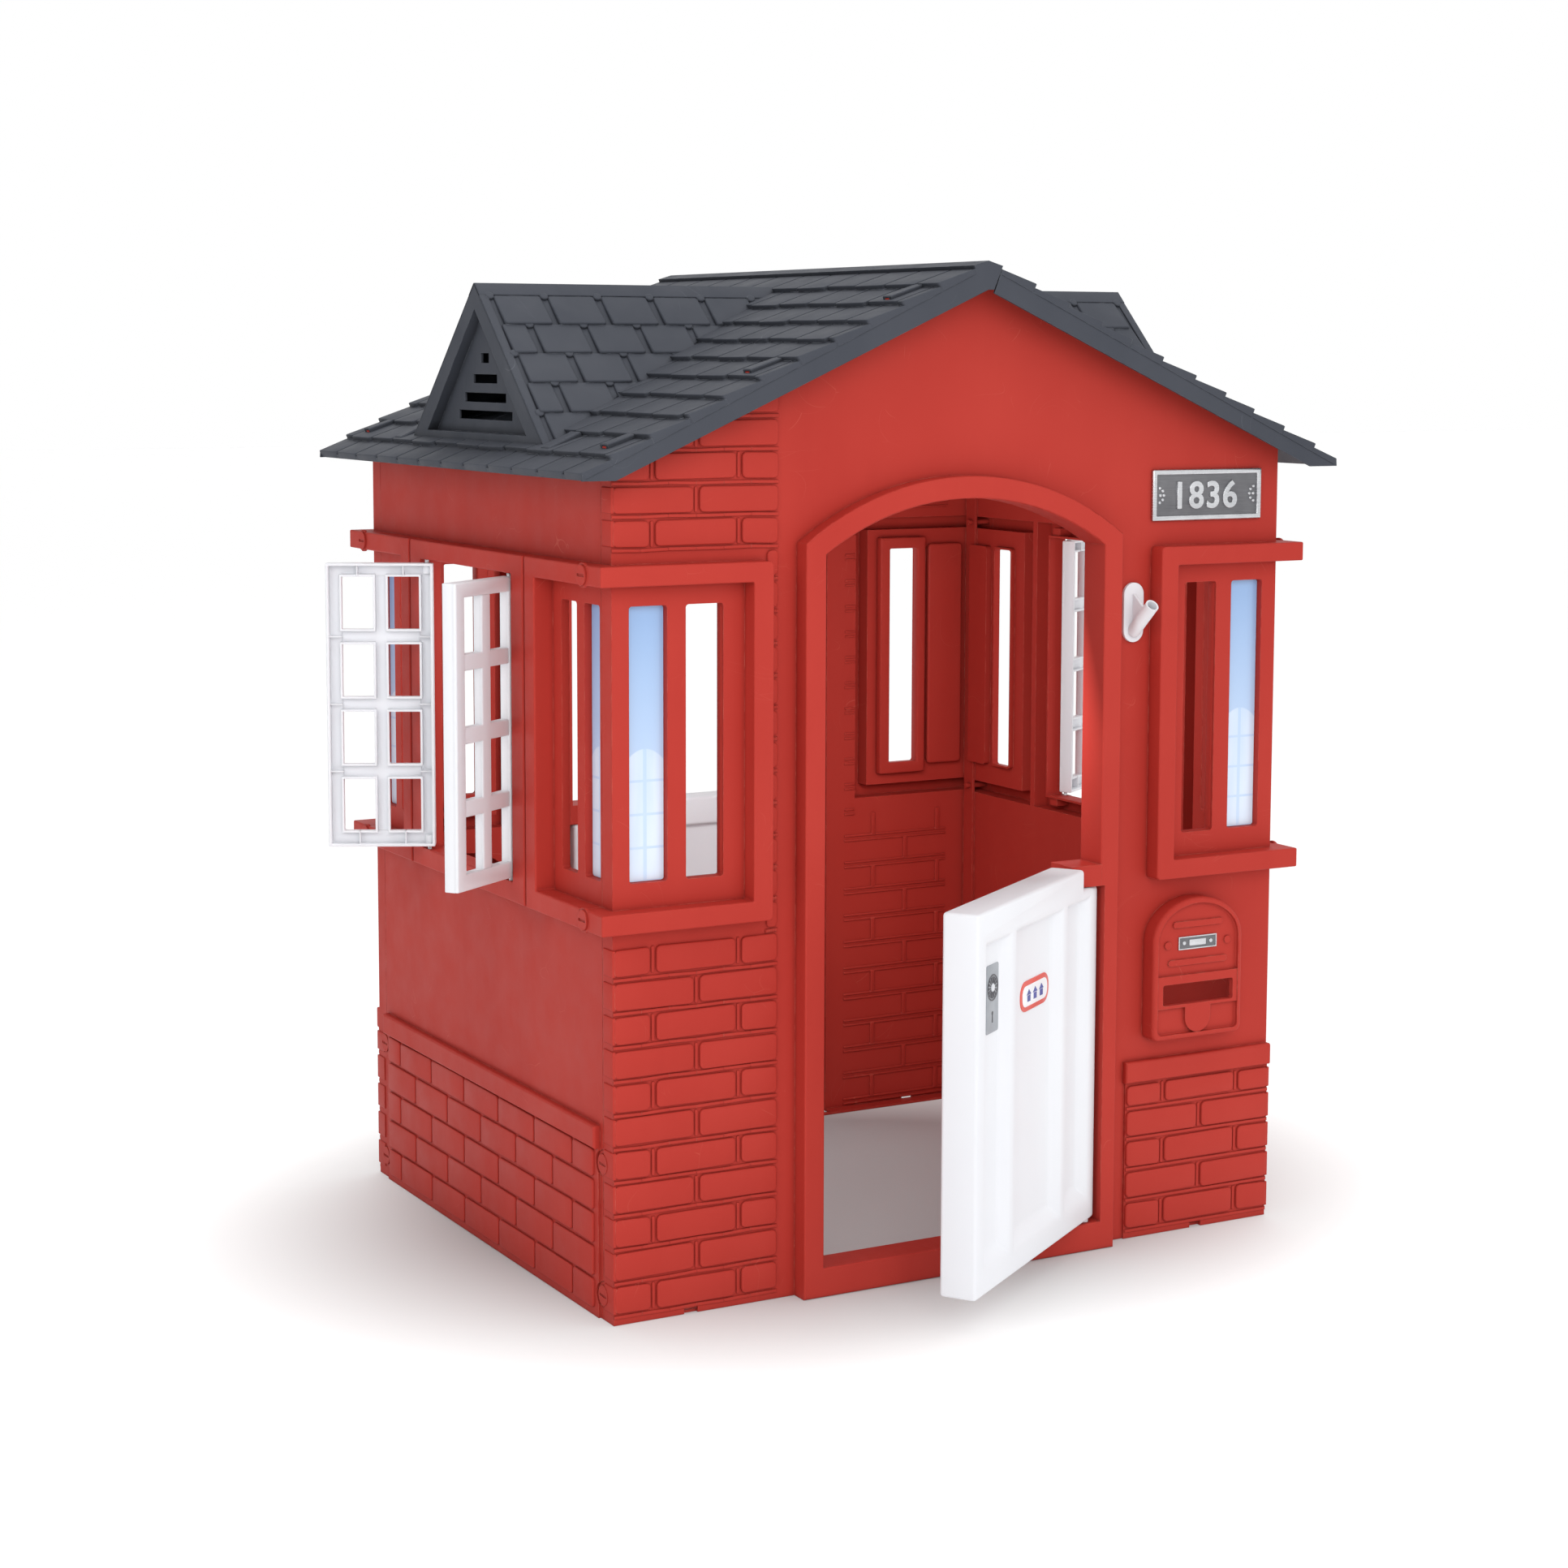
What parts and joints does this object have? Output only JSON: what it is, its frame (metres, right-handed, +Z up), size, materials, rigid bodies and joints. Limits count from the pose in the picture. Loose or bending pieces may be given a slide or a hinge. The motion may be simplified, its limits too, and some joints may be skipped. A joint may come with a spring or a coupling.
{
  "type": "plastic playhouse",
  "caption": "Outdoor cottage playhouse with brick-look walls, corner windows, swinging half doors and shutters, and a shingled roof with a dormer on each side.",
  "frame": {"origin": "on the floor, under the middle of the overall box as it stands, with the front half door ajar and the shutters open", "axes": "+Z up; -Y out of the front gable wall with the letter box; +X to the right as seen from the front"},
  "size_m": [1.2318, 1.0197, 1.24],
  "materials": {
    "red_plastic": "satin, fine moulded texture",
    "roof_plastic": "satin, fine moulded texture",
    "white_plastic": "satin",
    "sky_decal": "printed vinyl sticker, pale sky with a faint window grid",
    "plate_silver": "brushed silver sticker on a moulded plate",
    "lock_label": "printed silver-grey sticker",
    "badge_label": null
  },
  "bodies": {
    "root": {"front_wall": "red_plastic", "back_wall": "red_plastic", "left_wall": "red_plastic", "right_wall": "red_plastic", "roof_left": "roof_plastic", "roof_right": "roof_plastic", "dormer_left": "roof_plastic", "dormer_right": "roof_plastic", "flag_holder": "white_plastic", "address_plate": "plate_silver", "mailbox_label": "plate_silver", "front_left_screws": "red_plastic", "front_right_screws": "red_plastic", "back_left_screws": "red_plastic", "back_right_screws": "red_plastic", "front_left_decal": "sky_decal", "front_right_decal": "sky_decal", "back_left_decal": "sky_decal", "back_right_decal": "sky_decal", "left_front_decal": "sky_decal", "left_back_decal": "sky_decal", "right_front_decal": "sky_decal", "right_back_decal": "sky_decal"},
    "front_door": {"front_door": "white_plastic", "front_door_lock_plate": "lock_label", "front_door_badge": "badge_label"},
    "back_door": {"back_door": "white_plastic"},
    "left_front_shutter": {"left_front_shutter": "white_plastic"},
    "left_back_shutter": {"left_back_shutter": "white_plastic"},
    "right_back_shutter": {"right_back_shutter": "white_plastic"},
    "right_front_shutter": {"right_front_shutter": "white_plastic"}
  },
  "joints": [
    {"name": "front_door_hinge", "type": "hinge", "parent": "root", "child": "front_door", "pos_m": [0.179, -0.2912, 0.26], "axis": [0, 0, 1], "range_deg": [-34.5, 70.5]},
    {"name": "back_door_hinge", "type": "hinge", "parent": "root", "child": "back_door", "pos_m": [-0.179, 0.4748, 0.26], "axis": [0, 0, 1], "range_deg": [0, 105]},
    {"name": "left_front_shutter_hinge", "type": "hinge", "parent": "root", "child": "left_front_shutter", "pos_m": [-0.496, -0.0382, 0.679], "axis": [0, 0, 1], "range_deg": [-124.5, 3.5]},
    {"name": "left_back_shutter_hinge", "type": "hinge", "parent": "root", "child": "left_back_shutter", "pos_m": [-0.496, 0.2218, 0.679], "axis": [0, 0, -1], "range_deg": [-117, 11]},
    {"name": "right_back_shutter_hinge", "type": "hinge", "parent": "root", "child": "right_back_shutter", "pos_m": [0.496, 0.2218, 0.679], "axis": [0, 0, 1], "range_deg": [-124.5, 3.5]},
    {"name": "right_front_shutter_hinge", "type": "hinge", "parent": "root", "child": "right_front_shutter", "pos_m": [0.496, -0.0382, 0.679], "axis": [0, 0, -1], "range_deg": [-117, 11]}
  ]
}
